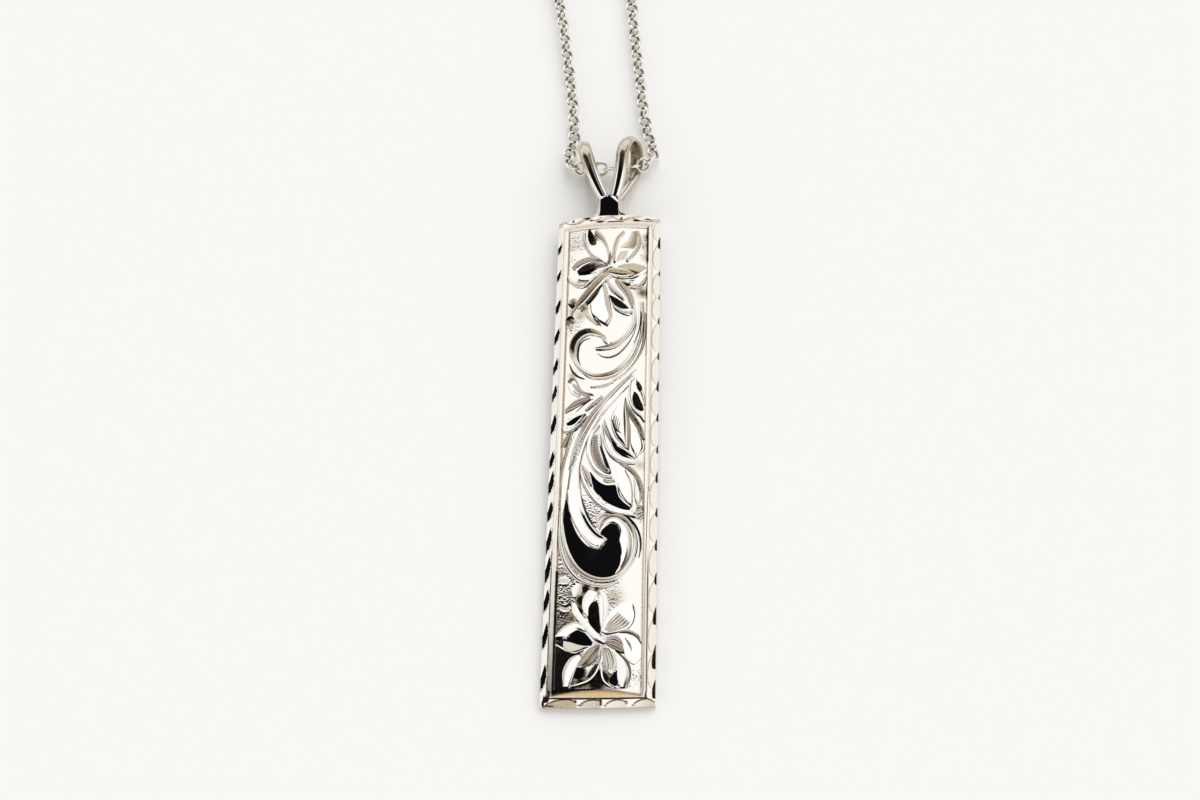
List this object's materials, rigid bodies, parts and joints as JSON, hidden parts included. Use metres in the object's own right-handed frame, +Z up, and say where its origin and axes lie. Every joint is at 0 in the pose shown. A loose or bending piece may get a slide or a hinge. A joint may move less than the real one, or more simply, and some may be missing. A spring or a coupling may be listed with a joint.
{
  "type": "bar pendant",
  "caption": "Domed rectangular bar pendant with raised plumeria and scroll relief, a rabbit-ear bail and a fine cable chain closed by a spring ring.",
  "frame": {"origin": "bottom centre of the whole jewel's box, on the surface that it lies on", "axes": "+Y along the bar from its foot to its bail and on to the clasp, +Z up out of the engraved front, +X to the wearer's left, the picture's right"},
  "size_m": [0.0808, 0.255, 0.0044],
  "materials": {
    "bar_silver": "polished sterling silver with a stippled ground",
    "chain_silver": "polished sterling silver wire",
    "clasp_silver": "polished sterling silver"
  },
  "bodies": {
    "root": {"bar_pendant": "bar_silver", "chain": "chain_silver", "clasp": "clasp_silver", "clasp_ring": "clasp_silver"}
  },
  "joints": []
}
